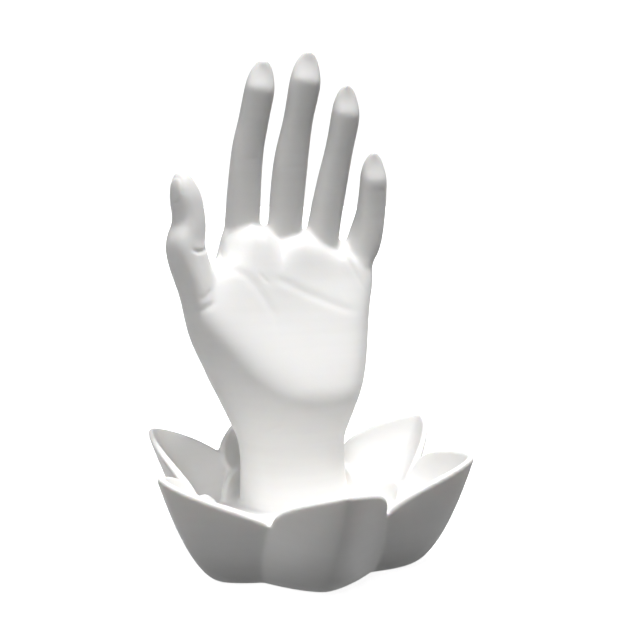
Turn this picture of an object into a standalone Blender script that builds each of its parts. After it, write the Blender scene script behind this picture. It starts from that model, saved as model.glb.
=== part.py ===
"""Hand jewelry stand: an open left hand rising from a bowl of lotus petals, cast in one piece.

Metres, +Z up. The origin is the centre of the flat base, on the petals' axis.
The palm faces -Y and the thumb points to -X.
"""
import math

import bmesh
import bpy
import numpy as np
from mathutils import Matrix, Vector

MM = 0.001

# Casting: size of the skin's faces, triangles to keep and how far each edge is softened
SKIN_SIZE = 1.0 * MM
TRIANGLE_BUDGET = 11500
EDGE_BLEND = 1.6 * MM
PALM_BLEND = 3.0 * MM
HAND_BLEND = 3.4 * MM
STAND_BLEND = 1.5 * MM
HAND_SWELL = 0.3 * MM
BASE_CUT = 0.5 * MM

# Petals. A tip and a valley hold a radius and a height; a foot holds the radius at the keel,
# the radius at the edge and the half spread. Walls hold the thickness at the root and the rim.
PETAL_TIP = (76.5 * MM, 52.0 * MM)
PETAL_VALLEY = (52.5 * MM, 32.5 * MM)
PETAL_WALLS = (17.0 * MM, 3.4 * MM)
FRONT_FOOT = (39.5 * MM, 34.5 * MM, math.radians(42.0))
BACK_FOOT = (43.0 * MM, 31.0 * MM, math.radians(30.0))
# name, azimuth, foot, then for the right and left side the angle to the valley and the rim's form
OUTER_PETALS = [
    ("front", 270.0, FRONT_FOOT, (26.6, 28.6), ((2.6, 0.75), (2.6, 0.75))),
    ("front_right", 330.0, BACK_FOOT, (31.4, 30.0), ((1.8, 0.95), (3.2, 0.70))),
    ("back_right", 27.0, FRONT_FOOT, (27.0, 31.0), ((3.4, 0.60), (2.2, 0.75))),
    ("back", 90.0, BACK_FOOT, (32.0, 32.0), ((3.2, 0.65), (3.4, 0.60))),
    ("left", 150.0, FRONT_FOOT, (28.0, 30.0), ((1.0, 0.60), (2.2, 0.85))),
    ("front_left", 210.0, BACK_FOOT, (30.0, 33.4), ((2.2, 0.85), (1.7, 0.95))),
]
INNER_COUNT = 6
INNER_FIRST_ANGLE = math.radians(300.0)
INNER_TIP = (47.5 * MM, 32.0 * MM)
INNER_VALLEY = (42.0 * MM, 17.0 * MM)
INNER_FOOT = (32.0 * MM, 28.0 * MM, math.radians(25.0))
INNER_WALLS = (4.0 * MM, 3.4 * MM)
INNER_RIM = (2.0, 0.5)
KEEL_SHARPNESS = 1.5
WALL_FLARE = 0.55
PETAL_SLICES = 26
PETAL_COLUMNS = 19

# Foot of the bowl
FOOT_SETBACK = 2.0 * MM
FLOOR_HEIGHT = 16.0 * MM
FLOOR_RISE = 3.0 * MM

# Wrist and palm, as level sections from the foot up to the knuckles
WRIST_TOP = 46.0 * MM
WRIST_BACK = 24.0 * MM
PALM_TOP = 142.0 * MM
KNUCKLE_TILT = math.radians(11.0)
CORNER_IN = 6.6
CORNER_BACK = 4.4
# in mm: height; left edge x, y; thumb ridge x, y; front y; right edge x, y; back y; then
# the share of the knuckle tilt
PALM_SECTIONS = [
    (11.0, -26.0, 24.0, -16.0, 9.8, 5.5, 29.0, 24.0, 42.8, 0.0),
    (26.0, -25.0, 24.0, -15.0, 9.5, 6.5, 25.6, 24.0, 41.5, 0.0),
    (46.0, -25.4, 24.0, -14.5, 9.0, 6.0, 24.5, 24.0, 41.5, 0.0),
    (58.0, -30.0, 24.0, -14.0, 6.4, 3.8, 28.0, 24.0, 41.8, 0.0),
    (71.0, -36.0, 23.0, -13.0, 2.0, 0.8, 32.0, 23.0, 42.2, 0.0),
    (80.0, -40.2, 22.0, -20.0, 3.0, 3.2, 34.2, 23.0, 43.0, 0.0),
    (88.0, -43.0, 22.0, -26.0, 4.8, 6.6, 35.6, 24.0, 44.0, 0.0),
    (98.0, -47.2, 21.5, -34.0, 7.6, 11.0, 36.9, 26.0, 45.0, 0.1),
    (108.0, -49.2, 21.0, -41.0, 9.8, 15.4, 38.4, 29.0, 46.0, 0.2),
    (118.0, -45.0, 23.0, -39.0, 14.2, 20.0, 40.2, 32.0, 46.8, 0.5),
    (127.0, -36.0, 30.0, -30.0, 23.4, 25.0, 41.8, 34.0, 47.2, 0.8),
    (138.0, -31.0, 36.0, -25.0, 30.4, 29.8, 41.5, 37.0, 46.4, 1.0),
    (143.0, -25.0, 38.0, -20.0, 34.0, 33.6, 38.0, 39.0, 44.4, 1.0),
]
PAD_LEAN = math.radians(-22.0)
# name, centre and half sizes of each soft pad, in mm
PALM_PADS = [
    ("index_pad", (-18.5, 37.0, 138.5), (10.0, 7.0, 10.0)),
    ("ring_pad", (13.0, 36.5, 135.5), (10.0, 7.0, 10.0)),
]

# Each finger is a chain from its knuckle inside the palm to its tip.
# A station holds x, the rise above the palm's top and the half width, in mm.
FINGERS = {
    "index": [(-22.5, -30.0, 8.0), (-20.7, 0.0, 8.0), (-18.2, 35.6, 7.2), (-15.3, 52.1, 6.7),
              (-12.8, 66.0, 6.6), (-10.8, 79.2, 6.0)],
    "middle": [(-3.0, -30.0, 8.0), (-0.4, 0.0, 7.8), (2.2, 31.6, 7.8), (5.3, 52.4, 6.6),
               (7.8, 68.0, 6.9), (9.4, 83.2, 6.0)],
    "ring": [(14.0, -34.0, 7.6), (17.8, -2.0, 7.5), (21.9, 22.4, 7.0), (25.1, 40.0, 6.3),
             (27.1, 54.0, 6.4), (27.4, 69.0, 5.6)],
    "little": [(28.0, -36.0, 6.4), (36.6, -7.0, 7.3), (40.9, 9.0, 6.7), (41.8, 21.0, 6.3),
               (41.6, 29.0, 6.0), (41.3, 39.0, 5.2)],
}
FINGER_FLATNESS = 0.92
FINGER_SQUARENESS = 2.3
FINGERTIP_LENGTH = 15.0 * MM
FINGER_NAIL_SIDE = Vector((0.0, 1.0, 0.0))
PALM_LEAN = math.radians(9.0)
PALM_TOP_BACK = WRIST_BACK + (PALM_TOP - WRIST_TOP) * math.tan(PALM_LEAN)
FINGER_LEANS = [math.radians(angle) for angle in (0.0, -9.0, 4.0, 8.0, 12.0, 14.0)]
# x, y and z of each thumb joint, half width and half thickness, in mm
THUMB = [(-30.0, 23.0, 80.0, 8.0, 8.0), (-37.5, 21.5, 100.0, 9.2, 9.0),
         (-42.6, 21.5, 118.0, 8.2, 8.0),
         (-48.2, 22.0, 137.0, 7.9, 7.8), (-46.5, 23.2, 150.0, 6.8, 6.4),
         (-49.7, 23.0, 171.5, 5.6, 5.8)]
THUMB_NAIL_SIDE = Vector((-0.80, -0.60, 0.10)).normalized()
THUMB_SQUARENESS = 3.0
THUMBTIP_LENGTH = 17.0 * MM

RING_SIDES = 26
CHAIN_RINGS = 34


def clear_scene():
    for item in list(bpy.data.objects):
        bpy.data.objects.remove(item, do_unlink=True)


def mesh_object(name, points, faces):
    mesh = bpy.data.meshes.new(name)
    mesh.from_pydata([tuple(point) for point in points], [], faces)
    mesh.update()
    item = bpy.data.objects.new(name, mesh)
    bpy.context.scene.collection.objects.link(item)
    shape = bmesh.new()
    shape.from_mesh(mesh)
    bmesh.ops.recalc_face_normals(shape, faces=shape.faces)
    shape.to_mesh(mesh)
    shape.free()
    return item


def loft(name, rings):
    """Skin a row of rings that have the same number of points, with a cap at each end."""
    sides = len(rings[0])
    points = [point for ring in rings for point in ring]
    faces = [tuple(range(sides))[::-1], tuple(range(len(points) - sides, len(points)))]
    for low in range(0, len(points) - sides, sides):
        for i in range(sides):
            j = (i + 1) % sides
            faces.append((low + i, low + j, low + sides + j, low + sides + i))
    return mesh_object(name, points, faces)


def smooth_chain(stations, count):
    """Catmull-Rom curve through the stations, with its readings closer together at the tip."""
    rows = np.array(stations, dtype=float)
    padded = np.vstack([2 * rows[0] - rows[1], rows, 2 * rows[-1] - rows[-2]])
    spans = len(rows) - 1
    curve = []
    for place in spans * np.sin(np.linspace(0.0, math.pi / 2, count)):
        span = min(int(place), spans - 1)
        t = place - span
        a, b, c, d = padded[span:span + 4]
        curve.append(0.5 * (2 * b + (c - a) * t + (2 * a - 5 * b + 4 * c - d) * t ** 2
                            + (3 * b - a - 3 * c + d) * t ** 3))
    return np.array(curve)


def finished_mesh(item):
    """The object's mesh with its modifiers applied."""
    seen = item.evaluated_get(bpy.context.evaluated_depsgraph_get())
    mesh = bpy.data.meshes.new_from_object(seen)
    item.modifiers.clear()
    item.data = mesh
    return item


def melt(name, pieces, blend, swell=0.0):
    """Melt overlapping forms into one skin. Blend is how far the skin is softened, in metres."""
    bpy.ops.object.select_all(action="DESELECT")
    for piece in pieces:
        piece.select_set(True)
    whole = pieces[0]
    bpy.context.view_layer.objects.active = whole
    bpy.ops.object.join()
    whole.name = name
    skin = whole.modifiers.new("skin", "REMESH")
    skin.mode = "VOXEL"
    skin.voxel_size = SKIN_SIZE
    soften = whole.modifiers.new("soften", "SMOOTH")
    soften.factor = 0.5
    soften.iterations = max(1, round((blend / SKIN_SIZE) ** 2))
    grow = whole.modifiers.new("grow", "DISPLACE")
    grow.strength = swell
    grow.mid_level = 0.0
    finished_mesh(whole)
    return whole


def petal(name, azimuth, tip, valley, foot, half_angles, walls, rims):
    """tip and valley hold a radius and a height; foot holds keel radius, edge radius, spread.

    half_angles and rims hold one value for each side, seen from the axis: right, then left.
    """
    heights = tip[1] * np.sin(np.linspace(0.0, math.pi / 2, PETAL_SLICES)) ** 1.2
    outer = np.zeros((PETAL_SLICES, PETAL_COLUMNS, 3))
    for i, z in enumerate(heights):
        share = min(z / valley[1], 1.0)
        rise = max((z - valley[1]) / (tip[1] - valley[1]), 0.0)
        keel = foot[0] + (tip[0] - foot[0]) * (z / tip[1]) ** WALL_FLARE
        keel_below = foot[0] + (tip[0] - foot[0]) * (min(z, valley[1]) / tip[1]) ** WALL_FLARE
        edge = foot[1] + (valley[0] - foot[1]) * share ** WALL_FLARE
        for j in range(PETAL_COLUMNS):
            place = 2 * j / (PETAL_COLUMNS - 1) - 1
            side = 0 if place < 0 else 1
            turn = foot[2] + (half_angles[side] - foot[2]) * share
            u = place * (1 - rise ** rims[side][0]) ** rims[side][1]
            cup = keel_below - edge * math.cos(turn)
            outer[i, j] = (keel - cup * abs(u) ** KEEL_SHARPNESS, edge * math.sin(turn) * u, z)
    along = np.gradient(outer, axis=0)
    beside = np.gradient(outer, axis=1)
    beside[-1] = beside[-2]
    normal = np.cross(beside, along)
    normal[:, :, 2] *= np.clip(heights / valley[1], 0.0, 1.0)[:, None]
    normal /= np.linalg.norm(normal, axis=2, keepdims=True)
    wall = walls[1] + (walls[0] - walls[1]) * (1 - heights / tip[1]) ** 2
    inner = outer - normal * wall[:, None, None]
    turned = np.array(Matrix.Rotation(azimuth, 3, "Z")).T
    points = np.concatenate([outer.reshape(-1, 3), inner.reshape(-1, 3)]) @ turned
    size = PETAL_SLICES * PETAL_COLUMNS
    faces = []
    for i in range(PETAL_SLICES - 1):
        for j in range(PETAL_COLUMNS - 1):
            a = i * PETAL_COLUMNS + j
            quad = (a, a + 1, a + PETAL_COLUMNS + 1, a + PETAL_COLUMNS)
            faces.append(quad)
            faces.append(tuple(size + k for k in quad[::-1]))
    last = PETAL_COLUMNS - 1
    top = (PETAL_SLICES - 1) * PETAL_COLUMNS
    border = list(range(PETAL_COLUMNS))
    border += [i * PETAL_COLUMNS + last for i in range(1, PETAL_SLICES)]
    border += [top + j for j in range(last - 1, -1, -1)]
    border += [i * PETAL_COLUMNS for i in range(PETAL_SLICES - 2, 0, -1)]
    for a, b in zip(border, border[1:] + border[:1]):
        faces.append((b, a, size + a, size + b))
    return mesh_object(name, points, faces)


def bowl_foot():
    edge = [BACK_FOOT[1] + (PETAL_VALLEY[0] - BACK_FOOT[1]) * share ** WALL_FLARE
            for share in (0.0, 0.1, 0.3, 0.5)]
    profile = [(0.0, 0.0)]
    profile += [(radius - FOOT_SETBACK, PETAL_VALLEY[1] * share)
                for radius, share in zip(edge, (0.0, 0.1, 0.3, 0.5))]
    profile += [(INNER_VALLEY[0], FLOOR_HEIGHT + FLOOR_RISE),
                (INNER_VALLEY[0] * 0.5, FLOOR_HEIGHT + FLOOR_RISE * 0.3), (0.0, FLOOR_HEIGHT)]
    shape = bmesh.new()
    chain = [shape.verts.new((radius, 0.0, z)) for radius, z in profile]
    edges = [shape.edges.new(pair) for pair in zip(chain, chain[1:])]
    bmesh.ops.spin(shape, geom=chain + edges, axis=(0, 0, 1), cent=(0, 0, 0),
                   angle=math.tau, steps=96, use_merge=True)
    bmesh.ops.remove_doubles(shape, verts=shape.verts, dist=0.01 * MM)
    bmesh.ops.recalc_face_normals(shape, faces=shape.faces)
    mesh = bpy.data.meshes.new("bowl_foot")
    shape.to_mesh(mesh)
    shape.free()
    item = bpy.data.objects.new("bowl_foot", mesh)
    bpy.context.scene.collection.objects.link(item)
    return item


def closed_curve(corners, count):
    """Smooth closed curve through the corners, with its tangents set by their spacing."""
    corners = np.array(corners, dtype=float)
    before, after = np.roll(corners, 1, axis=0), np.roll(corners, -1, axis=0)
    back_step = np.linalg.norm(corners - before, axis=1)[:, None] ** 0.5
    step = np.linalg.norm(after - corners, axis=1)[:, None] ** 0.5
    slope = ((corners - before) / back_step - (after - before) / (back_step + step)
             + (after - corners) / step)
    curve = []
    for place in np.linspace(0.0, len(corners), count, endpoint=False):
        i, t = int(place), place - int(place)
        j = (i + 1) % len(corners)
        curve.append((2 * t ** 3 - 3 * t ** 2 + 1) * corners[i]
                     + (t ** 3 - 2 * t ** 2 + t) * slope[i] * step[i]
                     + (3 * t ** 2 - 2 * t ** 3) * corners[j]
                     + (t ** 3 - t ** 2) * slope[j] * step[i])
    return curve


def oval(centre, across, through, half_width, half_depth, squareness):
    """Superellipse ring about a centre; squareness 2 is a plain ellipse."""
    ring = []
    for i in range(RING_SIDES):
        angle = math.tau * i / RING_SIDES
        c, s = math.cos(angle), math.sin(angle)
        u = math.copysign(abs(c) ** (2 / squareness), c) * half_width
        v = math.copysign(abs(s) ** (2 / squareness), s) * half_depth
        ring.append(centre + across * u + through * v)
    return ring


def palm():
    rings = []
    for row in smooth_chain(PALM_SECTIONS, CHAIN_RINGS):
        z, left, left_y, ridge, ridge_y, near, right, right_y, far, tilt = row
        middle = (left + right) / 2
        corners = [(left, left_y), (ridge, ridge_y), ((ridge + right) / 2, near),
                   (right - CORNER_IN, near + CORNER_BACK), (right, right_y),
                   (right - CORNER_IN, far - CORNER_BACK), (middle, far),
                   (left + 2.2 * CORNER_IN, far - 0.8 * CORNER_BACK)]
        slope = math.tan(KNUCKLE_TILT * tilt)
        rings.append([Vector((x, y, z - slope * (x - middle))) * MM
                      for x, y in closed_curve(corners, 2 * RING_SIDES)])
    return loft("palm", rings)


def pad(name, centre, half_sizes):
    shape = bmesh.new()
    bmesh.ops.create_uvsphere(shape, u_segments=40, v_segments=24, radius=1.0)
    place = (Matrix.Translation(Vector(centre) * MM) @ Matrix.Rotation(PAD_LEAN, 4, "X")
             @ Matrix.Diagonal((*(Vector(half_sizes) * MM), 1.0)))
    bmesh.ops.transform(shape, matrix=place, verts=shape.verts)
    mesh = bpy.data.meshes.new(name)
    shape.to_mesh(mesh)
    shape.free()
    item = bpy.data.objects.new(name, mesh)
    bpy.context.scene.collection.objects.link(item)
    return item


def digit(name, stations, nail_side, tip_length, squareness):
    """Loft along a chain of x, y, z, half width and half thickness, closed by a round tip."""
    curve = smooth_chain(stations, CHAIN_RINGS)
    centres = [Vector(row[:3]) for row in curve]
    rings = []
    for i, row in enumerate(curve):
        along = (centres[min(i + 1, len(centres) - 1)] - centres[max(i - 1, 0)]).normalized()
        across = along.cross(nail_side).normalized()
        through = across.cross(along).normalized()
        left = min((centres[-1] - centres[i]).length / tip_length, 1.0)
        close = max(math.sqrt(1 - (1 - left) ** 2), 0.06)
        rings.append(oval(centres[i], across, through, row[3] * close, row[4] * close, squareness))
    return loft(name, rings)


def finger_chain(stations):
    """Place the stations on the palm's top and lean each bone forward."""
    last = stations[0][1]
    back = PALM_TOP_BACK + math.tan(PALM_LEAN) * last * MM
    chain = []
    for (x, rise, half_width), lean in zip(stations, FINGER_LEANS):
        back -= math.tan(lean) * (rise - last) * MM
        last = rise
        chain.append((x * MM, back, PALM_TOP + rise * MM, half_width * MM,
                      half_width * MM * FINGER_FLATNESS))
    return chain


def cut_base(item, height):
    shape = bmesh.new()
    shape.from_mesh(item.data)
    cut = bmesh.ops.bisect_plane(shape, geom=shape.verts[:] + shape.edges[:] + shape.faces[:],
                                 plane_co=(0, 0, height), plane_no=(0, 0, -1), clear_outer=True)
    rim = [part for part in cut["geom_cut"] if isinstance(part, bmesh.types.BMEdge)]
    bmesh.ops.holes_fill(shape, edges=rim, sides=0)
    bmesh.ops.translate(shape, verts=shape.verts, vec=(0, 0, -height))
    bmesh.ops.triangulate(shape, faces=shape.faces)
    shape.to_mesh(item.data)
    shape.free()


def thin_faces(item, budget):
    triangles = sum(len(face.vertices) - 2 for face in item.data.polygons)
    if triangles > budget:
        item.modifiers.new("thin", "DECIMATE").ratio = budget / triangles
        finished_mesh(item)


def resin():
    material = bpy.data.materials.new("white_resin")
    material.use_nodes = True
    shader = material.node_tree.nodes["Principled BSDF"]
    shader.inputs["Base Color"].default_value = (0.86, 0.85, 0.82, 1.0)
    shader.inputs["Roughness"].default_value = 0.5
    shader.inputs["Metallic"].default_value = 0.0
    return material


def bowl():
    pieces = [bowl_foot()]
    for name, azimuth, foot, half_angles, rims in OUTER_PETALS:
        pieces.append(petal(name, math.radians(azimuth), PETAL_TIP, PETAL_VALLEY, foot,
                            [math.radians(angle) for angle in half_angles], PETAL_WALLS, rims))
    for i in range(INNER_COUNT):
        azimuth = INNER_FIRST_ANGLE + math.tau * i / INNER_COUNT
        pieces.append(petal(f"inner_{i}", azimuth, INNER_TIP, INNER_VALLEY, INNER_FOOT,
                            (INNER_FOOT[2],) * 2, INNER_WALLS, (INNER_RIM,) * 2))
    return melt("bowl", pieces, EDGE_BLEND)


def hand():
    palm_block = melt("palm_block", [palm()] + [pad(*row) for row in PALM_PADS], PALM_BLEND)
    pieces = [palm_block]
    for name, stations in FINGERS.items():
        pieces.append(digit(name, finger_chain(stations), FINGER_NAIL_SIDE, FINGERTIP_LENGTH,
                            FINGER_SQUARENESS))
    thumb = [tuple(value * MM for value in row) for row in THUMB]
    pieces.append(digit("thumb", thumb, THUMB_NAIL_SIDE, THUMBTIP_LENGTH, THUMB_SQUARENESS))
    return melt("hand", pieces, HAND_BLEND, HAND_SWELL)


def build():
    clear_scene()
    stand = melt("hand_lotus_stand", [bowl(), hand()], STAND_BLEND)
    thin_faces(stand, TRIANGLE_BUDGET)
    cut_base(stand, BASE_CUT)
    stand.data.shade_smooth()
    stand.data.materials.clear()
    stand.data.materials.append(resin())


build()
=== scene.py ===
# %% [markdown]
# # A hand that holds rings, standing in a lotus bowl
# The stand is one casting of white resin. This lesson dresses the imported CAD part: it makes the
# same hand and petals again with a much finer skin, adds the creases, nails and knuckles that
# a carver would cut, and gives the resin its soft, slightly waxy look.
# Lengths are in metres. The origin is the centre of the flat base, the palm faces -Y and the
# thumb points to -X.

import math

import bmesh
import bpy
import numpy as np
from mathutils import Matrix, Vector


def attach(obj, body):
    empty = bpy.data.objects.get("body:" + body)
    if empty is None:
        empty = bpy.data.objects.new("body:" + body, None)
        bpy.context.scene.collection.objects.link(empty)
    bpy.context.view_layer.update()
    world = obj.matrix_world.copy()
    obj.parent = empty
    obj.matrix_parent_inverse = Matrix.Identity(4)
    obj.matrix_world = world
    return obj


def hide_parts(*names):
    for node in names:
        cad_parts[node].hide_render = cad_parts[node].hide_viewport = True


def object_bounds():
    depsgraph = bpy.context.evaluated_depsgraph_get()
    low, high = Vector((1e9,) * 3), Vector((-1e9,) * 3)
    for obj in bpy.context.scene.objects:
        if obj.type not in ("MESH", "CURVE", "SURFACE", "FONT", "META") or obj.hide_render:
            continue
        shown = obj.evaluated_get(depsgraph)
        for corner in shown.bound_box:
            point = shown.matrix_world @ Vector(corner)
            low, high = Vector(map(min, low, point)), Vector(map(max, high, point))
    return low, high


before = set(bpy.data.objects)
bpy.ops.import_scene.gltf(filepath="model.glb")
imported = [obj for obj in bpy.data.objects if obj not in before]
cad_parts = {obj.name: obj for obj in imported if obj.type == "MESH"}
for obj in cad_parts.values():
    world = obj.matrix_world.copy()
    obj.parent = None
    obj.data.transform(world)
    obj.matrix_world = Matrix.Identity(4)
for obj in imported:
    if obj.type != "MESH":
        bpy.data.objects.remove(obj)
cad_low, cad_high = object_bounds()
stand_size = cad_high - cad_low
print("CAD box in mm:", [round(side * 1000, 1) for side in stand_size])

MM = 0.001
SKIN_SIZE = 0.75 * MM
TRIANGLE_BUDGET = 185000

# %% [markdown]
# ## Tools of the bench
# Most forms here start as rings or a grid of points. Small helpers turn those points into
# closed meshes, and one more melts overlapping forms into one skin. A voxel remesh was chosen
# for that, because it closes every seam the way liquid resin does, where a boolean union would
# leave hard intersection lines.


# %% Helpers that make and melt meshes
def mesh_object(name, points, faces):
    mesh = bpy.data.meshes.new(name)
    mesh.from_pydata([tuple(point) for point in points], [], faces)
    mesh.update()
    item = bpy.data.objects.new(name, mesh)
    bpy.context.scene.collection.objects.link(item)
    shape = bmesh.new()
    shape.from_mesh(mesh)
    bmesh.ops.recalc_face_normals(shape, faces=shape.faces)
    shape.to_mesh(mesh)
    shape.free()
    return item


def loft(name, rings):
    """Skin a row of rings that have the same number of points, with a cap at each end."""
    sides = len(rings[0])
    points = [point for ring in rings for point in ring]
    faces = [tuple(range(sides))[::-1], tuple(range(len(points) - sides, len(points)))]
    for low in range(0, len(points) - sides, sides):
        for i in range(sides):
            j = (i + 1) % sides
            faces.append((low + i, low + j, low + sides + j, low + sides + i))
    return mesh_object(name, points, faces)


def smooth_chain(stations, count):
    """Catmull-Rom curve through the stations, with its readings closer together at the tip."""
    rows = np.array(stations, dtype=float)
    padded = np.vstack([2 * rows[0] - rows[1], rows, 2 * rows[-1] - rows[-2]])
    spans = len(rows) - 1
    curve = []
    for place in spans * np.sin(np.linspace(0.0, math.pi / 2, count)):
        span = min(int(place), spans - 1)
        t = place - span
        a, b, c, d = padded[span:span + 4]
        curve.append(0.5 * (2 * b + (c - a) * t + (2 * a - 5 * b + 4 * c - d) * t ** 2
                            + (3 * b - a - 3 * c + d) * t ** 3))
    return np.array(curve)


def apply_modifiers(item):
    """Make what the object's modifiers show its plain mesh."""
    seen = item.evaluated_get(bpy.context.evaluated_depsgraph_get())
    mesh = bpy.data.meshes.new_from_object(seen)
    item.modifiers.clear()
    item.data = mesh


SOFTENING = 0.5


def melt(name, pieces, blend, swell=0.0):
    """Melt overlapping forms into one skin.

    Blend is how far the skin is softened and swell how far it grows outwards, in metres.
    """
    bpy.ops.object.select_all(action="DESELECT")
    for piece in pieces:
        piece.select_set(True)
    whole = pieces[0]
    bpy.context.view_layer.objects.active = whole
    bpy.ops.object.join()
    whole.name = name
    skin = whole.modifiers.new("skin", "REMESH")
    skin.mode = "VOXEL"
    skin.voxel_size = SKIN_SIZE
    soften = whole.modifiers.new("soften", "SMOOTH")
    soften.factor = SOFTENING
    soften.iterations = max(1, round((blend / SKIN_SIZE) ** 2))
    grow = whole.modifiers.new("grow", "DISPLACE")
    grow.strength = swell
    grow.mid_level = 0.0
    apply_modifiers(whole)
    print(name, len(whole.data.polygons), "faces")
    return whole


# %% [markdown]
# ## The petals
# A lotus petal is a cupped leaf with a soft keel and a pointed tip. It is drawn here as a stack
# of level slices: each slice is an arc that grows wider up to the valley between two petals and
# then closes to the tip. The wall gets its thickness along the surface normal, thick at the
# root, where the resin pools, and thin at the rim.

# %% The petal's driving sizes
PETAL_TIP = (76.3 * MM, 52.0 * MM)
PETAL_VALLEY = (52.5 * MM, 32.5 * MM)
PETAL_WALLS = (17.0 * MM, 2.8 * MM)
WIDE_FOOT = (39.5 * MM, 34.5 * MM, math.radians(42.0))
NARROW_FOOT = (43.0 * MM, 31.0 * MM, math.radians(30.0))
INNER_TIP = (47.5 * MM, 29.5 * MM)
INNER_VALLEY = (42.0 * MM, 17.0 * MM)
INNER_FOOT = (32.0 * MM, 28.0 * MM, math.radians(25.0))
INNER_WALLS = (4.0 * MM, 3.4 * MM)
INNER_RIM = (2.0, 0.5)
KEEL_SHARPNESS = 1.5
WALL_FLARE = 0.55
ROOT_THICKENING = 2
SLICE_CROWDING = 1.2
PETAL_SLICES = 32
PETAL_COLUMNS = 25


# %% One petal
def petal(name, azimuth, tip, valley, foot, half_angles, walls, rims, flare):
    """tip and valley hold a radius and a height; foot holds keel radius, edge radius, spread.

    walls holds the thickness at the root and at the rim. half_angles and rims hold one entry
    for each side, seen from the axis: right, then left. A small flare makes the keel swell out
    low down.
    """
    heights = tip[1] * np.sin(np.linspace(0.0, math.pi / 2, PETAL_SLICES)) ** SLICE_CROWDING
    outer = np.zeros((PETAL_SLICES, PETAL_COLUMNS, 3))
    for i, z in enumerate(heights):
        share = min(z / valley[1], 1.0)
        rise = max((z - valley[1]) / (tip[1] - valley[1]), 0.0)
        keel = foot[0] + (tip[0] - foot[0]) * (z / tip[1]) ** flare
        keel_below = foot[0] + (tip[0] - foot[0]) * (min(z, valley[1]) / tip[1]) ** flare
        edge = foot[1] + (valley[0] - foot[1]) * share ** WALL_FLARE
        for j in range(PETAL_COLUMNS):
            place = 2 * j / (PETAL_COLUMNS - 1) - 1
            side = 0 if place < 0 else 1
            turn = foot[2] + (half_angles[side] - foot[2]) * share
            u = place * (1 - rise ** rims[side][0]) ** rims[side][1]
            cup = keel_below - edge * math.cos(turn)
            outer[i, j] = (keel - cup * abs(u) ** KEEL_SHARPNESS, edge * math.sin(turn) * u, z)
    along = np.gradient(outer, axis=0)
    beside = np.gradient(outer, axis=1)
    beside[-1] = beside[-2]
    normal = np.cross(beside, along)
    normal[:, :, 2] *= np.clip(heights / valley[1], 0.0, 1.0)[:, None]
    normal /= np.linalg.norm(normal, axis=2, keepdims=True)
    wall = walls[1] + (walls[0] - walls[1]) * (1 - heights / tip[1]) ** ROOT_THICKENING
    inner = outer - normal * wall[:, None, None]
    turned = np.array(Matrix.Rotation(azimuth, 3, "Z")).T
    points = np.concatenate([outer.reshape(-1, 3), inner.reshape(-1, 3)]) @ turned
    size = PETAL_SLICES * PETAL_COLUMNS
    faces = []
    for i in range(PETAL_SLICES - 1):
        for j in range(PETAL_COLUMNS - 1):
            a = i * PETAL_COLUMNS + j
            quad = (a, a + 1, a + PETAL_COLUMNS + 1, a + PETAL_COLUMNS)
            faces.append(quad)
            faces.append(tuple(size + k for k in quad[::-1]))
    last = PETAL_COLUMNS - 1
    top = (PETAL_SLICES - 1) * PETAL_COLUMNS
    border = list(range(PETAL_COLUMNS))
    border += [i * PETAL_COLUMNS + last for i in range(1, PETAL_SLICES)]
    border += [top + j for j in range(last - 1, -1, -1)]
    border += [i * PETAL_COLUMNS for i in range(PETAL_SLICES - 2, 0, -1)]
    for a, b in zip(border, border[1:] + border[:1]):
        faces.append((b, a, size + a, size + b))
    return mesh_object(name, points, faces)


# %% [markdown]
# ## A ring of petals with Geometry Nodes
# The low inner petals repeat round the axis, so one small tree sets them out: it makes a point
# for each petal, turns the point's instance by its index, and realizes the copies as one mesh.


# %% The tree that sets petals round the axis
def petal_ring_tree(material):
    tree = bpy.data.node_groups.new("petal_ring", "GeometryNodeTree")
    sockets = tree.interface
    sockets.new_socket("Petal", in_out="INPUT", socket_type="NodeSocketGeometry")
    count = sockets.new_socket("Count", in_out="INPUT", socket_type="NodeSocketInt")
    first = sockets.new_socket("First angle", in_out="INPUT", socket_type="NodeSocketFloat")
    step = sockets.new_socket("Step", in_out="INPUT", socket_type="NodeSocketFloat")
    sockets.new_socket("Ring", in_out="OUTPUT", socket_type="NodeSocketGeometry")
    entry = tree.nodes.new("NodeGroupInput")
    leave = tree.nodes.new("NodeGroupOutput")
    points = tree.nodes.new("GeometryNodePoints")
    index = tree.nodes.new("GeometryNodeInputIndex")
    angle = tree.nodes.new("ShaderNodeMath")
    angle.operation = "MULTIPLY_ADD"
    turn = tree.nodes.new("ShaderNodeCombineXYZ")
    copies = tree.nodes.new("GeometryNodeInstanceOnPoints")
    realize = tree.nodes.new("GeometryNodeRealizeInstances")
    paint = tree.nodes.new("GeometryNodeSetMaterial")
    paint.inputs["Material"].default_value = material
    link = tree.links.new
    link(entry.outputs["Count"], points.inputs["Count"])
    link(index.outputs["Index"], angle.inputs[0])
    link(entry.outputs["Step"], angle.inputs[1])
    link(entry.outputs["First angle"], angle.inputs[2])
    link(angle.outputs["Value"], turn.inputs["Z"])
    link(points.outputs[0], copies.inputs["Points"])
    link(entry.outputs["Petal"], copies.inputs["Instance"])
    link(turn.outputs["Vector"], copies.inputs["Rotation"])
    link(copies.outputs["Instances"], realize.inputs["Geometry"])
    link(realize.outputs["Geometry"], paint.inputs["Geometry"])
    link(paint.outputs["Geometry"], leave.inputs["Ring"])
    return tree, (count.identifier, first.identifier, step.identifier)


def ring_of(item, tree, identifiers, count, first, step):
    setter = item.modifiers.new("ring", "NODES")
    setter.node_group = tree
    for identifier, value in zip(identifiers, (count, first, step)):
        setter[identifier] = value
    apply_modifiers(item)
    print(item.name, "x", count, "->", len(item.data.polygons), "faces")


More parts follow.
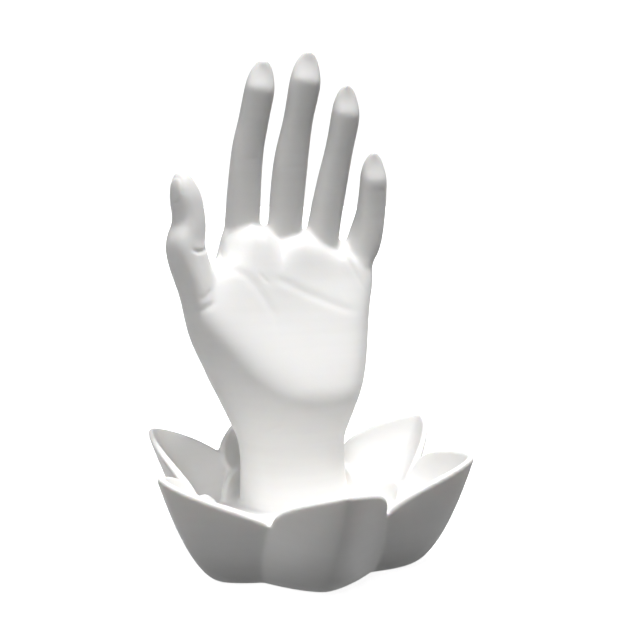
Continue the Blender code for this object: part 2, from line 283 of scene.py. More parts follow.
# %% [markdown]
# ## The resin
# Cast resin is satin, a little waxy, and lets some light into thin edges. A Principled shader
# with weak subsurface scattering gives that. Faint level streaks from the mould are a noise on
# Object coordinates, squeezed in height, that tints the resin a little. A much finer noise
# breaks up the gloss and adds a very shallow bump.

# %% The resin's material
RESIN_COLOUR = (0.86, 0.855, 0.845, 1.0)
RESIN_SHADE = (0.848, 0.842, 0.83, 1.0)
STREAK_SQUEEZE = (14.0, 14.0, 260.0)
STREAK_EDGES = (0.35, 0.62)
GRAIN_SCALE = 900.0
GLOSS_RANGE = (0.42, 0.58)
GRAIN_HEIGHT = 0.2 * MM
GLOW_DEPTH = 2.5 * MM


def white_resin():
    material = bpy.data.materials.new("white_resin")
    material.use_nodes = True
    nodes, link = material.node_tree.nodes, material.node_tree.links.new
    shader = nodes["Principled BSDF"]
    place = nodes.new("ShaderNodeTexCoord")
    stretch = nodes.new("ShaderNodeMapping")
    stretch.inputs["Scale"].default_value = STREAK_SQUEEZE
    streaks = nodes.new("ShaderNodeTexNoise")
    streaks.inputs["Scale"].default_value = 1.0
    streaks.inputs["Detail"].default_value = 3.0
    grain = nodes.new("ShaderNodeTexNoise")
    grain.inputs["Scale"].default_value = GRAIN_SCALE
    grain.inputs["Detail"].default_value = 4.0
    tint = nodes.new("ShaderNodeValToRGB")
    stops = zip(tint.color_ramp.elements, STREAK_EDGES, (RESIN_SHADE, RESIN_COLOUR))
    for stop, position, colour in stops:
        stop.position = position
        stop.color = colour
    gloss = nodes.new("ShaderNodeMapRange")
    gloss.inputs["To Min"].default_value = GLOSS_RANGE[0]
    gloss.inputs["To Max"].default_value = GLOSS_RANGE[1]
    bump = nodes.new("ShaderNodeBump")
    bump.inputs["Strength"].default_value = 0.12
    bump.inputs["Distance"].default_value = GRAIN_HEIGHT
    link(place.outputs["Object"], stretch.inputs["Vector"])
    link(stretch.outputs["Vector"], streaks.inputs["Vector"])
    link(place.outputs["Object"], grain.inputs["Vector"])
    link(streaks.outputs["Fac"], tint.inputs["Fac"])
    link(tint.outputs["Color"], shader.inputs["Base Color"])
    link(grain.outputs["Fac"], gloss.inputs["Value"])
    link(gloss.outputs["Result"], shader.inputs["Roughness"])
    link(grain.outputs["Fac"], bump.inputs["Height"])
    link(bump.outputs["Normal"], shader.inputs["Normal"])
    shader.inputs["Metallic"].default_value = 0.0
    shader.inputs["IOR"].default_value = 1.5
    shader.inputs["Subsurface Weight"].default_value = 0.25
    shader.inputs["Subsurface Radius"].default_value = (1.0, 0.75, 0.5)
    shader.inputs["Subsurface Scale"].default_value = GLOW_DEPTH
    return material


resin = white_resin()
print("material:", resin.name)

# %% [markdown]
# ## The bowl
# The six outer petals come from a table, because the sculptor made each a little different:
# three have a wide foot and stand outside the other three. Six low inner petals fill the
# valleys. A turned foot with a dished top closes the bowl.

# %% Foot of the bowl
FLOOR_HEIGHT = 16.0 * MM
FLOOR_RISE = 3.0 * MM
FOOT_SETBACK = 2.0 * MM
# shares of the valley's height at which the foot's side is read
FOOT_SHARES = (0.0, 0.1, 0.3, 0.5)
FOOT_SIDES = 96
# shares of the dish's radius and rise at the point between its middle and its edge
DISH_BEND = (0.5, 0.3)
MERGE_DISTANCE = 0.01 * MM


def bowl_foot():
    edge = [NARROW_FOOT[1] + (PETAL_VALLEY[0] - NARROW_FOOT[1]) * share ** WALL_FLARE
            for share in FOOT_SHARES]
    profile = [(0.0, 0.0)]
    profile += [(radius - FOOT_SETBACK, PETAL_VALLEY[1] * share)
                for radius, share in zip(edge, FOOT_SHARES)]
    profile += [(INNER_VALLEY[0], FLOOR_HEIGHT + FLOOR_RISE),
                (INNER_VALLEY[0] * DISH_BEND[0], FLOOR_HEIGHT + FLOOR_RISE * DISH_BEND[1]),
                (0.0, FLOOR_HEIGHT)]
    shape = bmesh.new()
    chain = [shape.verts.new((radius, 0.0, z)) for radius, z in profile]
    edges = [shape.edges.new(pair) for pair in zip(chain, chain[1:])]
    bmesh.ops.spin(shape, geom=chain + edges, axis=(0, 0, 1), cent=(0, 0, 0),
                   angle=math.tau, steps=FOOT_SIDES, use_merge=True)
    bmesh.ops.remove_doubles(shape, verts=shape.verts, dist=MERGE_DISTANCE)
    bmesh.ops.recalc_face_normals(shape, faces=shape.faces)
    mesh = bpy.data.meshes.new("bowl_foot")
    shape.to_mesh(mesh)
    shape.free()
    item = bpy.data.objects.new("bowl_foot", mesh)
    bpy.context.scene.collection.objects.link(item)
    return item


# %% The six outer petals, each a little different
# name, azimuth, foot, for the right and left side the angle to the valley and the rim's form,
# and the keel's flare; angles are in degrees
OUTER_PETALS = [
    ("front", 270.0, WIDE_FOOT, (26.6, 28.6), ((2.0, 0.85), (2.8, 0.70)), 0.55),
    ("front_right", 330.0, NARROW_FOOT, (31.4, 30.0), ((1.8, 0.95), (4.0, 0.60)), 0.44),
    ("back_right", 27.0, WIDE_FOOT, (29.0, 31.0), ((3.4, 0.60), (2.2, 0.75)), 0.55),
    ("back", 94.0, NARROW_FOOT, (34.0, 36.0), ((3.2, 0.65), (2.6, 0.75)), 0.55),
    ("left", 150.0, WIDE_FOOT, (27.0, 30.0), ((1.5, 0.60), (2.2, 0.85)), 0.55),
    ("front_left", 210.0, NARROW_FOOT, (30.0, 33.4), ((2.2, 0.85), (1.3, 1.05)), 0.52),
]

# %% Set out the petals and melt the bowl
INNER_COUNT = 6
INNER_FIRST_ANGLE = math.radians(300.0)
EDGE_BLEND = 1.6 * MM

tree, inputs = petal_ring_tree(resin)
outer = [petal(name, math.radians(azimuth), PETAL_TIP, PETAL_VALLEY, foot,
               [math.radians(angle) for angle in half_angles], PETAL_WALLS, rims, flare)
         for name, azimuth, foot, half_angles, rims, flare in OUTER_PETALS]
inner = petal("inner_petals", 0.0, INNER_TIP, INNER_VALLEY, INNER_FOOT, (INNER_FOOT[2],) * 2,
              INNER_WALLS, (INNER_RIM,) * 2, WALL_FLARE)
ring_of(inner, tree, inputs, INNER_COUNT, INNER_FIRST_ANGLE, math.tau / INNER_COUNT)
bowl = melt("bowl", [bowl_foot(), inner] + outer, EDGE_BLEND)

# %% [markdown]
# ## The hand
# Wrist and palm are one loft through sections that are level at the wrist and tilt near the
# knuckles. Each section says where its left and right edge, its front and its back are, so the
# palm can lean back above the heel like the real one. Two soft pads swell the palm under the
# index and the ring finger.

# %% Sections of the wrist and palm
WRIST_TOP = 46.0 * MM
WRIST_BACK = 24.0 * MM
PALM_TOP = 142.0 * MM
KNUCKLE_TILT = math.radians(11.0)
RING_SIDES = 32
CHAIN_RINGS = 44
# in mm, how far the corners lie inside the section's edges, and the left one's multiples of that
CORNER_IN = 6.6
CORNER_BACK = 4.4
LEFT_CORNER = (2.2, 0.8)
# in mm: height; left edge x, y; thumb ridge x, y; front y; right edge x, y; back y; and then
# the share of the knuckle tilt
PALM_SECTIONS = [
    (11.0, -26.0, 24.0, -16.0, 9.8, 5.5, 29.0, 24.0, 42.8, 0.0),
    (26.0, -25.0, 24.0, -15.0, 9.5, 6.5, 25.6, 24.0, 41.5, 0.0),
    (46.0, -25.4, 24.0, -14.5, 9.0, 6.0, 24.5, 24.0, 41.5, 0.0),
    (58.0, -30.0, 24.0, -14.0, 6.4, 3.8, 28.0, 24.0, 41.8, 0.0),
    (71.0, -36.0, 23.0, -13.0, 2.0, 0.8, 32.0, 23.0, 42.2, 0.0),
    (80.0, -40.2, 22.0, -20.0, 3.0, 3.2, 34.2, 23.0, 43.0, 0.0),
    (88.0, -43.0, 22.0, -26.0, 4.8, 6.6, 35.6, 24.0, 44.0, 0.0),
    (98.0, -47.2, 21.5, -34.0, 7.8, 11.0, 36.9, 26.0, 45.0, 0.1),
    (108.0, -49.2, 21.0, -40.0, 11.4, 15.3, 38.4, 29.0, 46.0, 0.2),
    (118.0, -45.0, 23.0, -37.5, 16.6, 19.6, 40.2, 32.0, 46.8, 0.5),
    (127.0, -36.0, 30.0, -31.0, 22.4, 23.6, 41.8, 34.0, 47.2, 0.8),
    (138.0, -31.0, 36.0, -25.0, 27.8, 27.6, 41.5, 37.0, 46.4, 1.0),
    (143.0, -25.0, 38.0, -20.0, 31.8, 31.4, 38.0, 39.0, 44.4, 1.0),
]


def closed_curve(corners, count):
    """Smooth closed curve through the corners, with its tangents set by their spacing."""
    corners = np.array(corners, dtype=float)
    before, after = np.roll(corners, 1, axis=0), np.roll(corners, -1, axis=0)
    back_step = np.linalg.norm(corners - before, axis=1)[:, None] ** 0.5
    step = np.linalg.norm(after - corners, axis=1)[:, None] ** 0.5
    slope = ((corners - before) / back_step - (after - before) / (back_step + step)
             + (after - corners) / step)
    curve = []
    for place in np.linspace(0.0, len(corners), count, endpoint=False):
        i, t = int(place), place - int(place)
        j = (i + 1) % len(corners)
        curve.append((2 * t ** 3 - 3 * t ** 2 + 1) * corners[i]
                     + (t ** 3 - 2 * t ** 2 + t) * slope[i] * step[i]
                     + (3 * t ** 2 - 2 * t ** 3) * corners[j]
                     + (t ** 3 - t ** 2) * slope[j] * step[i])
    return curve


def oval(centre, across, through, half_width, half_depth, squareness):
    """Superellipse ring about a centre; squareness 2 is a plain ellipse."""
    ring = []
    for i in range(RING_SIDES):
        angle = math.tau * i / RING_SIDES
        c, s = math.cos(angle), math.sin(angle)
        u = math.copysign(abs(c) ** (2 / squareness), c) * half_width
        v = math.copysign(abs(s) ** (2 / squareness), s) * half_depth
        ring.append(centre + across * u + through * v)
    return ring


def palm():
    rings = []
    for row in smooth_chain(PALM_SECTIONS, CHAIN_RINGS):
        z, left, left_y, ridge, ridge_y, near, right, right_y, far, tilt = row
        middle = (left + right) / 2
        corners = [(left, left_y), (ridge, ridge_y), ((ridge + right) / 2, near),
                   (right - CORNER_IN, near + CORNER_BACK), (right, right_y),
                   (right - CORNER_IN, far - CORNER_BACK), (middle, far),
                   (left + LEFT_CORNER[0] * CORNER_IN, far - LEFT_CORNER[1] * CORNER_BACK)]
        slope = math.tan(KNUCKLE_TILT * tilt)
        rings.append([Vector((x, y, z - slope * (x - middle))) * MM
                      for x, y in closed_curve(corners, 2 * RING_SIDES)])
    return loft("palm", rings)


# %% Soft pads of the palm
PAD_LEAN = math.radians(-22.0)
# name, centre and half sizes of each soft pad, in mm
PALM_PADS = [
    ("index_pad", (-18.5, 37.0, 138.5), (10.0, 7.0, 10.0)),
    ("ring_pad", (13.0, 36.5, 135.5), (10.0, 7.0, 10.0)),
]


def pad(name, centre, half_sizes):
    shape = bmesh.new()
    bmesh.ops.create_uvsphere(shape, u_segments=40, v_segments=24, radius=1.0)
    place = (Matrix.Translation(Vector(centre) * MM) @ Matrix.Rotation(PAD_LEAN, 4, "X")
             @ Matrix.Diagonal((*(Vector(half_sizes) * MM), 1.0)))
    bmesh.ops.transform(shape, matrix=place, verts=shape.verts)
    mesh = bpy.data.meshes.new(name)
    shape.to_mesh(mesh)
    shape.free()
    item = bpy.data.objects.new(name, mesh)
    bpy.context.scene.collection.objects.link(item)
    return item


PALM_BLEND = 3.0 * MM
palm_block = melt("palm_block", [palm()] + [pad(*row) for row in PALM_PADS], PALM_BLEND)

# %% [markdown]
# ## Fingers and thumb
# A finger is a chain of stations from its knuckle inside the palm to its tip. The chain is
# smoothed, and the finger leans a little further forward at every joint, as a relaxed hand does.

# %% Bones of the fingers
# x, rise above the palm's top and half width of each station, in mm
FINGERS = {
    "index": [(-22.5, -30.0, 8.0), (-20.7, 0.0, 8.0), (-18.2, 35.6, 7.2), (-15.3, 52.1, 6.7),
              (-12.8, 66.0, 6.6), (-10.8, 79.2, 6.0)],
    "middle": [(-3.0, -30.0, 8.0), (-0.4, 0.0, 7.8), (2.2, 31.6, 7.8), (5.3, 52.4, 6.6),
               (7.8, 68.0, 6.9), (9.4, 83.2, 6.0)],
    "ring": [(14.0, -34.0, 7.6), (17.8, -2.0, 7.5), (21.9, 22.4, 7.0), (25.1, 40.0, 6.3),
             (27.1, 54.0, 6.4), (27.4, 69.0, 5.6)],
    "little": [(28.0, -36.0, 6.4), (36.6, -7.0, 7.3), (40.9, 9.0, 6.7), (41.8, 21.0, 6.3),
               (41.6, 29.0, 6.0), (41.3, 39.0, 5.2)],
}
FINGER_FLATNESS = 0.92
FINGER_SQUARENESS = 2.3
FINGERTIP_LENGTH = 15.0 * MM
LEAST_TIP = 0.06
PALM_LEAN = math.radians(9.0)
PALM_TOP_BACK = WRIST_BACK + (PALM_TOP - WRIST_TOP) * math.tan(PALM_LEAN)
FINGER_LEANS = [math.radians(angle) for angle in (0.0, -9.0, 4.0, 8.0, 12.0, 14.0)]
# x, y and z of each thumb station, half width and half thickness, in mm
THUMB = [(-30.0, 23.0, 80.0, 8.0, 8.0), (-37.5, 21.5, 100.0, 9.2, 9.0),
         (-42.6, 21.5, 118.0, 8.2, 8.0), (-48.2, 22.0, 137.0, 7.9, 7.8),
         (-46.5, 23.2, 150.0, 6.8, 6.4), (-49.6, 23.0, 171.7, 5.9, 6.1)]
THUMB_NAIL_SIDE = Vector((-0.80, -0.60, 0.10)).normalized()
THUMB_SQUARENESS = 3.0
THUMBTIP_LENGTH = 14.5 * MM
FINGER_NAIL_SIDE = Vector((0.0, 1.0, 0.0))
PAD_LENGTH = 13.0 * MM
FINGER_PAD_SLOPE = 0.6
THUMB_PAD_SLOPE = 0.1


def digit(name, stations, nail_side, tip_length, squareness, pad_slope):
    """Loft along a chain of x, y, z, half width and half thickness, closed by a round tip.

    The pad slope says how far the pad side falls back towards the nail near the tip.
    """
    curve = smooth_chain(stations, CHAIN_RINGS)
    centres = [Vector(row[:3]) for row in curve]
    rings = []
    for i, row in enumerate(curve):
        along = (centres[min(i + 1, len(centres) - 1)] - centres[max(i - 1, 0)]).normalized()
        across = along.cross(nail_side).normalized()
        through = across.cross(along).normalized()
        distance = (centres[-1] - centres[i]).length
        left = min(distance / tip_length, 1.0)
        close = max(math.sqrt(1 - (1 - left) ** 2), LEAST_TIP)
        depth = row[4] * close
        slope = pad_slope * max(1.0 - distance / PAD_LENGTH, 0.0)
        rings.append(oval(centres[i] + through * depth * slope, across, through, row[3] * close,
                          depth * (1.0 - slope), squareness))
    return loft(name, rings)


def finger_chain(stations):
    """Place the stations on the palm's top and lean each bone forward."""
    last = stations[0][1]
    back = PALM_TOP_BACK + math.tan(PALM_LEAN) * last * MM
    chain = []
    for (x, rise, half_width), lean in zip(stations, FINGER_LEANS):
        back -= math.tan(lean) * (rise - last) * MM
        last = rise
        chain.append((x * MM, back, PALM_TOP + rise * MM, half_width * MM,
                      half_width * MM * FINGER_FLATNESS))
    return chain


# %% Melt the hand together
chains = {name: finger_chain(stations) for name, stations in FINGERS.items()}
chains["thumb"] = [tuple(value * MM for value in row) for row in THUMB]
digits = [digit(name, chains[name], FINGER_NAIL_SIDE, FINGERTIP_LENGTH, FINGER_SQUARENESS,
                FINGER_PAD_SLOPE) for name in FINGERS]
digits.append(digit("thumb", chains["thumb"], THUMB_NAIL_SIDE, THUMBTIP_LENGTH, THUMB_SQUARENESS,
                    THUMB_PAD_SLOPE))
HAND_BLEND = 3.4 * MM
HAND_SWELL = 0.3 * MM
STAND_BLEND = 1.5 * MM
hand = melt("hand", [palm_block] + digits, HAND_BLEND, HAND_SWELL)
stand = melt("hand_and_lotus", [bowl, hand], STAND_BLEND)

# %% [markdown]
# ## Creases, nails and knuckles
# A carver cuts these after the big forms are right. Here each one moves the skin's points a
# little in or out along their normals. A crease is a line in x and z, seen from straight ahead:
# points near the line sink, and the lips beside it rise a little. The palm's upper edge is
# pulled down into arcs under the fingers. Nails are ovals on the back of the fingertips, and
# tendons and knuckles are soft ridges on the back of the hand.


# %% Read the skin's points and measure from a line
def skin_points(item):
    mesh = item.data
    places = np.zeros(len(mesh.vertices) * 3)
    mesh.vertices.foreach_get("co", places)
    normals = np.zeros(len(mesh.vertices) * 3, dtype=np.float32)
    mesh.vertex_normals.foreach_get("vector", normals)
    return places.reshape(-1, 3), normals.reshape(-1, 3).astype(float)


def way_along(places, line):
    """Distance of every point from a line of (x, z) points, and how far along it that is."""
    flat = places[:, [0, 2]]
    nearest = np.full(len(flat), 1.0)
    along = np.zeros(len(flat))
    line = np.array(line) * MM
    for i, (a, b) in enumerate(zip(line, line[1:])):
        t = np.clip(((flat - a) @ (b - a)) / ((b - a) @ (b - a)), 0.0, 1.0)
        distance = np.linalg.norm(flat - a - t[:, None] * (b - a), axis=1)
        closer = distance < nearest
        nearest[closer] = distance[closer]
        along[closer] = (i + t[closer]) / (len(line) - 1)
    return nearest, along


def bell(distance, width):
    return np.exp(-(distance / width) ** 2)


# %% Creases of the palm and fingers
CREASE_LIP = 0.15
# how fast a cut or ridge ends where the skin turns away, how fast a cut fades towards the ends
# of its line, and the share of its depth that is left there
FACING_GAIN = 2.0
LINE_FADE = 4.0
LINE_END = 0.15
# width and depth in mm, then the line's x and z in mm
PALM_CREASES = [
    (1.9, 0.24, [(-33.5, 127.5), (-26.0, 128.0), (-21.6, 125.0), (-17.9, 120.6), (-13.9, 114.4),
                 (-10.3, 108.0), (-9.0, 99.0)]),
    (0.9, 0.14, [(-16.1, 126.7), (-14.0, 124.0), (-11.5, 121.3)]),
    (1.8, 0.22, [(-9.0, 124.5), (-5.4, 122.5), (4.9, 117.0), (14.5, 112.7), (25.0, 108.6),
                 (31.0, 107.5)]),
    (1.3, 0.30, [(-46.0, 108.5), (-44.1, 110.7), (-41.1, 111.8), (-36.0, 114.6)]),
    (1.1, 0.20, [(-43.0, 115.5), (-40.5, 117.0), (-38.0, 120.0)]),
    (1.0, 0.16, [(-15.7, 57.1), (-11.9, 59.1), (-5.9, 61.9)]),
    (1.0, 0.12, [(-14.0, 54.5), (-9.5, 56.5)]),
    (0.9, 0.55, [(-46.5, 138.0), (-43.5, 136.4), (-41.0, 136.6), (-37.5, 138.6)]),
    (1.3, 0.22, [(24.0, 135.5), (27.5, 133.0), (30.5, 126.6), (33.5, 120.1), (36.5, 115.3)]),
]
# heights of the folds at each finger's joints, and then their lines: shift, sag, width and depth
FINGER_FOLDS = {"index": (194.0, 177.5), "middle": (194.5, 173.8), "ring": (181.5, 164.0),
                "little": (163.2, 151.0)}
FOLD_HALF_WIDTH = 5.5
FRONT_LINES = [(0.0, -0.5, 0.7, 0.22), (-1.6, -0.5, 0.7, 0.10)]
BACK_LINES = [(-1.8, -0.72, 0.6, 0.14), (0.0, 0.0, 0.6, 0.14), (1.8, 0.72, 0.6, 0.14)]
# x and the drop of the palm's upper edge there, in mm: it hangs in arcs under the fingers
PALM_EDGE = [(-38.5, 0.0), (-34.0, 7.0), (-31.5, 7.5), (-29.0, 5.5), (-24.0, 3.4), (-17.0, 1.0),
             (-10.8, 1.8), (-4.3, 6.0), (1.5, 3.0), (7.4, 1.2), (15.7, 2.3), (23.9, 5.0), (29.0, 3.5),
             (33.0, 7.0), (36.0, 8.0)]
PALM_EDGE_HEIGHT = 143.0 * MM
PALM_EDGE_REACH = 11.0 * MM
PALM_EDGE_BACK = 39.0 * MM
PALM_EDGE_FADE = 6.0 * MM


def cut_line(places, normals, line, width, depth, front):
    """Sink the skin along a line on the front or the back of the hand, fading at the ends."""
    distance, along = way_along(places, line)
    facing = np.clip(normals[:, 1] * (-1.0 if front else 1.0) * FACING_GAIN, 0.0, 1.0)
    fade = np.clip(LINE_FADE * np.minimum(along, 1.0 - along) + LINE_END, 0.0, 1.0)
    sink = bell(distance, width * MM) - CREASE_LIP * bell(distance - 2.0 * width * MM, width * MM)
    places -= normals * (sink * fade * facing * depth * MM)[:, None]


def hang_palm_edge(places):
    """Pull the edge where the palm meets the fingers down into arcs, on the palm side only."""
    across, drops = np.array(PALM_EDGE).T * MM
    front = np.clip((PALM_EDGE_BACK - places[:, 1]) / PALM_EDGE_FADE, 0.0, 1.0)
    near = bell(places[:, 2] - PALM_EDGE_HEIGHT, PALM_EDGE_REACH)
    places[:, 2] -= np.interp(places[:, 0], across, drops) * front * near


def finger_centre(chain, z):
    """The x of a finger's middle line at a height."""
    rows = smooth_chain(chain, CHAIN_RINGS)
    return np.interp(z, rows[:, 2], rows[:, 0])


# %% Nails
NAIL_HALF_LENGTH = 5.4 * MM
NAIL_WIDTH_SHARE = 0.66
NAIL_SETBACK = 8.0 * MM
NAIL_REACH = 12.0 * MM
NAIL_ROUNDNESS = 2.4
NAIL_BEVEL = 0.15
NAIL_GROOVE_WIDTH = 0.13
FINGER_NAIL_GROOVE = 0.32 * MM
THUMB_NAIL_GROOVE = 0.12 * MM
NAIL_RISE = 0.18 * MM
NAIL_FACING_GAIN = 3.0
# the nail points along the last readings of its finger
NAIL_READINGS = 8


def carve_nail(places, normals, chain, side, groove_depth):
    """Press an oval nail into the tip's back: a fine groove round a slightly raised plate."""
    rows = smooth_chain(chain, CHAIN_RINGS)
    tip, before = Vector(rows[-1][:3]), Vector(rows[-NAIL_READINGS][:3])
    along = (tip - before).normalized()
    across = along.cross(side).normalized()
    out = across.cross(along).normalized()
    middle = tip - along * NAIL_SETBACK
    offset = places - np.array(middle)
    u = offset @ np.array(across) / (rows[-1][3] * NAIL_WIDTH_SHARE)
    v = offset @ np.array(along) / NAIL_HALF_LENGTH
    ring = (np.abs(u) ** NAIL_ROUNDNESS + np.abs(v) ** NAIL_ROUNDNESS) ** (1 / NAIL_ROUNDNESS)
    facing = np.clip(normals @ np.array(out) * NAIL_FACING_GAIN, 0.0, 1.0)
    close = (np.linalg.norm(offset, axis=1) < NAIL_REACH) * facing
    plate = np.clip((1.0 - ring) / NAIL_BEVEL, 0.0, 1.0) * NAIL_RISE
    groove = bell(ring - 1.0, NAIL_GROOVE_WIDTH) * groove_depth
    places += normals * ((plate - groove) * close)[:, None]


# %% Knuckles and tendons on the back
# in mm: how far a knuckle's line runs below and above its joint, then widths and rises
KNUCKLE_SPAN = (1.5, 3.0)
KNUCKLE_WIDTH = 5.0
KNUCKLE_RISE = 1.1
TENDON_WIDTH = 2.4
TENDON_RISE = 0.45
RIDGE_FADE = 3.0
# x and z of each tendon's lower end, in mm
TENDON_FOOT = {"index": (-9.0, 62.0), "middle": (-3.0, 60.0), "ring": (4.0, 61.0),
               "little": (11.0, 63.0)}


def raise_back(places, normals, line, width, rise):
    distance, along = way_along(places, line)
    facing = np.clip(normals[:, 1] * FACING_GAIN, 0.0, 1.0)
    fade = np.clip(RIDGE_FADE * (1.0 - along), 0.0, 1.0)
    places += normals * (bell(distance, width * MM) * fade * facing * rise * MM)[:, None]


# %% All the fine work
def fine_work(item):
    places, normals = skin_points(item)
    for width, depth, line in PALM_CREASES:
        cut_line(places, normals, line, width, depth, front=True)
    hang_palm_edge(places)
    for name, folds in FINGER_FOLDS.items():
        for z in folds:
            x = finger_centre(chains[name], z * MM) / MM
            for lines, front in ((FRONT_LINES, True), (BACK_LINES, False)):
                for shift, sag, width, depth in lines:
                    line = [(x - FOLD_HALF_WIDTH, z + shift), (x, z + shift + sag),
                            (x + FOLD_HALF_WIDTH, z + shift)]
                    cut_line(places, normals, line, width, depth, front)
        carve_nail(places, normals, chains[name], FINGER_NAIL_SIDE, FINGER_NAIL_GROOVE)
        x, rise, _ = FINGERS[name][1]
        z = PALM_TOP / MM + rise - math.tan(KNUCKLE_TILT) * x / 2
        knuckle = [(x, z + KNUCKLE_SPAN[1]), (x, z - KNUCKLE_SPAN[0])]
        raise_back(places, normals, knuckle, KNUCKLE_WIDTH, KNUCKLE_RISE)
        raise_back(places, normals, [(x, z), TENDON_FOOT[name]], TENDON_WIDTH, TENDON_RISE)
    carve_nail(places, normals, chains["thumb"], THUMB_NAIL_SIDE, THUMB_NAIL_GROOVE)
    item.data.vertices.foreach_set("co", places.ravel())
    item.data.update()
    print("creases:", len(PALM_CREASES), "nails:", len(chains))


# %% [markdown]
# ## Base, finish and material
# The foot is cut level, so that the stand rests flat, and a Decimate modifier spends the
# triangles where the skin bends.


# %% Cut the foot and thin the flat parts
def cut_base(item, height):
    shape = bmesh.new()
    shape.from_mesh(item.data)
    cut = bmesh.ops.bisect_plane(shape, geom=shape.verts[:] + shape.edges[:] + shape.faces[:],
                                 plane_co=(0, 0, height), plane_no=(0, 0, -1), clear_outer=True)
    rim = [part for part in cut["geom_cut"] if isinstance(part, bmesh.types.BMEdge)]
    bmesh.ops.holes_fill(shape, edges=rim, sides=0)
    bmesh.ops.translate(shape, verts=shape.verts, vec=(0, 0, -height))
    bmesh.ops.triangulate(shape, faces=shape.faces)
    shape.to_mesh(item.data)
    shape.free()


def thin_faces(item, budget):
    triangles = sum(len(face.vertices) - 2 for face in item.data.polygons)
    if triangles > budget:
        item.modifiers.new("thin", "DECIMATE").ratio = budget / triangles
        apply_modifiers(item)
    print(item.name, triangles, "triangles ->", len(item.data.polygons), "faces")


BASE_CUT = 0.5 * MM
fine_work(stand)
thin_faces(stand, TRIANGLE_BUDGET)
cut_base(stand, BASE_CUT)
stand.data.shade_smooth()
stand.data.materials.clear()
stand.data.materials.append(resin)
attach(stand, "root")
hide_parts("hand_lotus_stand")

# %% [markdown]
# ## Studio
# A key light stands almost overhead, a little in front and to the right. A soft light above the
# camera opens the fingers' shadows, and a weak low one from the left reaches the petals' outer
# faces. The floor glows, so that the stand's shadow on it stays faint, and diffuse rays pass it
# by, so that its glow doesn't light the stand.

# %% Camera
VIEW_TURN = math.radians(13.18)
VIEW_DIP = math.radians(8.5)
CAMERA_PLACE = Vector((-83.3, -388.8, 166.0)) * MM
LENS = 51.76
camera_data = bpy.data.cameras.new("camera")
camera_data.lens = LENS
camera_data.sensor_width = 36.0
camera = bpy.data.objects.new("camera", camera_data)
camera.location = CAMERA_PLACE
camera.rotation_euler = (math.pi / 2 - VIEW_DIP, 0.0, -VIEW_TURN)
bpy.context.scene.collection.objects.link(camera)
bpy.context.scene.camera = camera


# %% Lights
KEY_TURN, KEY_RISE = -27.0, 78.5
KEY_STRENGTH = 3.65
KEY_SPREAD = math.radians(13.0)
LAMP_AIM = Vector((0.0, 0.0, 0.11))
LAMP_DISTANCE = 1.2
LAMP_SIZE = 0.8
# name, turn, rise and power in watts
LAMPS = [("front", -110.0, 46.0, 3.4), ("side", -150.0, 5.0, 0.9)]


def add_light(name, kind, strength, turn, rise):
    """A light that shines on the stand; the turn is counted from the camera's own right."""
    turn, rise = math.radians(turn) - VIEW_TURN, math.radians(rise)
    level = math.cos(rise)
    towards = Vector((level * math.cos(turn), level * math.sin(turn), math.sin(rise)))
    data = bpy.data.lights.new(name, kind)
    data.energy = strength
    lamp = bpy.data.objects.new(name, data)
    lamp.location = LAMP_AIM + towards * LAMP_DISTANCE
    lamp.rotation_euler = towards.to_track_quat("Z", "Y").to_euler()
    bpy.context.scene.collection.objects.link(lamp)
    return data


add_light("key", "SUN", KEY_STRENGTH, KEY_TURN, KEY_RISE).angle = KEY_SPREAD
for name, turn, rise, power in LAMPS:
    data = add_light(name, "AREA", power, turn, rise)
    data.shape = "DISK"
    data.size = LAMP_SIZE
bpy.context.scene.view_settings.view_transform = "Standard"
print("lights:", 1 + len(LAMPS))

# %% Floor
FLOOR_REACH = 6.0
FLOOR_COLOUR = (0.92, 0.92, 0.92, 1.0)
FLOOR_GLOW = 0.85

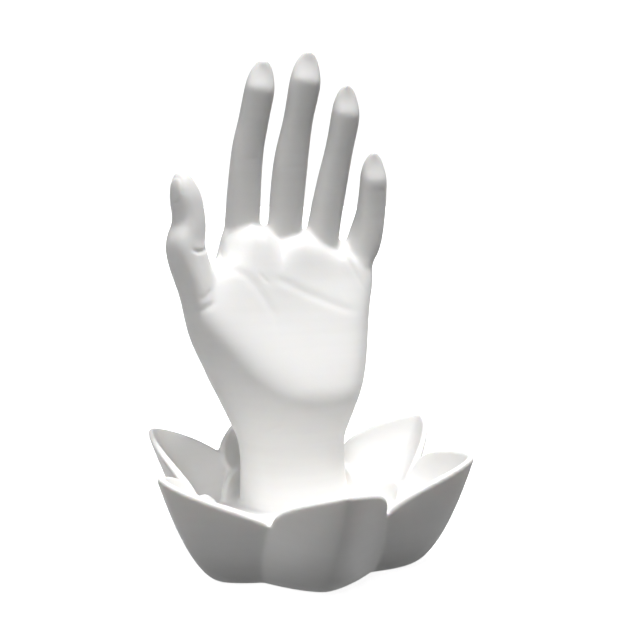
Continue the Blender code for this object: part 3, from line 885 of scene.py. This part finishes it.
floor_material = bpy.data.materials.new("pale_floor")
floor_material.use_nodes = True
floor_shader = floor_material.node_tree.nodes["Principled BSDF"]
floor_shader.inputs["Base Color"].default_value = FLOOR_COLOUR
floor_shader.inputs["Roughness"].default_value = 0.9
floor_shader.inputs["Emission Color"].default_value = (1.0, 1.0, 1.0, 1.0)
floor_shader.inputs["Emission Strength"].default_value = FLOOR_GLOW
corners = [(FLOOR_REACH * x, FLOOR_REACH * y, 0.0) for x, y in ((-1, -1), (1, -1), (1, 1), (-1, 1))]
floor_mesh = bpy.data.meshes.new("floor")
floor_mesh.from_pydata(corners, [], [(0, 1, 2, 3)])
floor_mesh.materials.append(floor_material)
floor = bpy.data.objects.new("floor", floor_mesh)
bpy.context.scene.collection.objects.link(floor)
floor.visible_diffuse = False

# %% [markdown]
# ## Surroundings
# A white room lights an object mostly from above. The strength of the surroundings therefore
# grows with the direction's height, tilted a little to the left, and is nothing well below the
# horizon. The camera itself sees plain white, as in a catalogue photo.

# %% Light from the surroundings
SKY_TILT = (-0.20, 0.05, 0.98)
SKY_LOWEST = -0.3
SKY_STRENGTH = 0.38
BACKDROP_STRENGTH = 1.4

world = bpy.data.worlds.new("studio")
bpy.context.scene.world = world
world.use_nodes = True
nodes, link = world.node_tree.nodes, world.node_tree.links.new
ambient = nodes["Background"]
ambient.inputs["Color"].default_value = (1.0, 1.0, 1.0, 1.0)
heading = nodes.new("ShaderNodeTexCoord")
height = nodes.new("ShaderNodeVectorMath")
height.operation = "DOT_PRODUCT"
height.inputs[1].default_value = SKY_TILT
overhead = nodes.new("ShaderNodeMapRange")
overhead.inputs["From Min"].default_value = SKY_LOWEST
overhead.inputs["To Max"].default_value = SKY_STRENGTH
backdrop = nodes.new("ShaderNodeBackground")
backdrop.inputs["Strength"].default_value = BACKDROP_STRENGTH
rays = nodes.new("ShaderNodeLightPath")
choose = nodes.new("ShaderNodeMixShader")
link(heading.outputs["Generated"], height.inputs[0])
link(height.outputs["Value"], overhead.inputs["Value"])
link(overhead.outputs["Result"], ambient.inputs["Strength"])
link(rays.outputs["Is Camera Ray"], choose.inputs["Fac"])
link(ambient.outputs["Background"], choose.inputs[1])
link(backdrop.outputs["Background"], choose.inputs[2])
link(choose.outputs["Shader"], nodes["World Output"].inputs["Surface"])

# %% Finish
bpy.context.view_layer.update()
